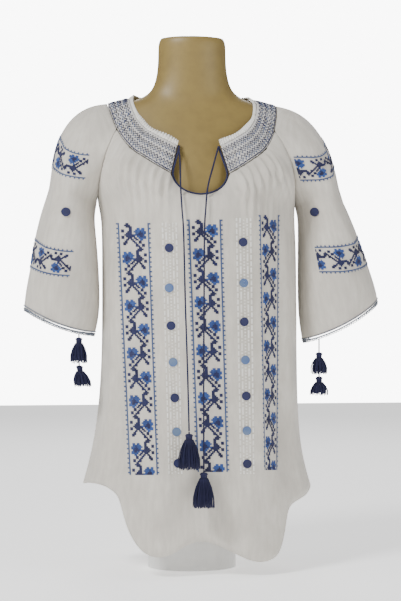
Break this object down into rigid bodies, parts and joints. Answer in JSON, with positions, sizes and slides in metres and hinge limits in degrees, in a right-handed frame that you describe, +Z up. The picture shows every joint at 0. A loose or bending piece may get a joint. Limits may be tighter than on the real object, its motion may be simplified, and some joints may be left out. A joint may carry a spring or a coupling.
{
  "type": "peasant blouse on a limbless dress form",
  "caption": "White gauze peasant blouse with a smocked neck, keyhole and hanging ties, worn by a limbless dress form on a low base.",
  "frame": {"origin": "centre of the base's flat underside, on the floor", "axes": "+Z up, -Y towards the blouse's front, +X towards the wearer's left arm"},
  "size_m": [0.5365, 0.2608, 0.79],
  "materials": {
    "form": "satin skin over a rigid shell",
    "base": "matt",
    "gauze": "crinkled cotton gauze with cross-stitch bands",
    "smocking": "pleated gauze with zigzag smocking threads",
    "navy": "matt cotton cord and thread",
    "edging": "crocheted cotton edge"
  },
  "bodies": {
    "root": {"dress_form": "form", "form_base": "base", "front_panel": "gauze", "back_panel": "gauze", "left_sleeve": "gauze", "right_sleeve": "gauze", "neck_band": "smocking", "keyhole_edging": "navy", "left_cuff_edging": "edging", "right_cuff_edging": "edging", "tie_left": "navy", "tie_right": "navy", "tie_tassel_left": "navy", "tie_tassel_right": "navy", "left_cuff_tassels": "navy", "right_cuff_tassels": "navy"}
  },
  "joints": []
}
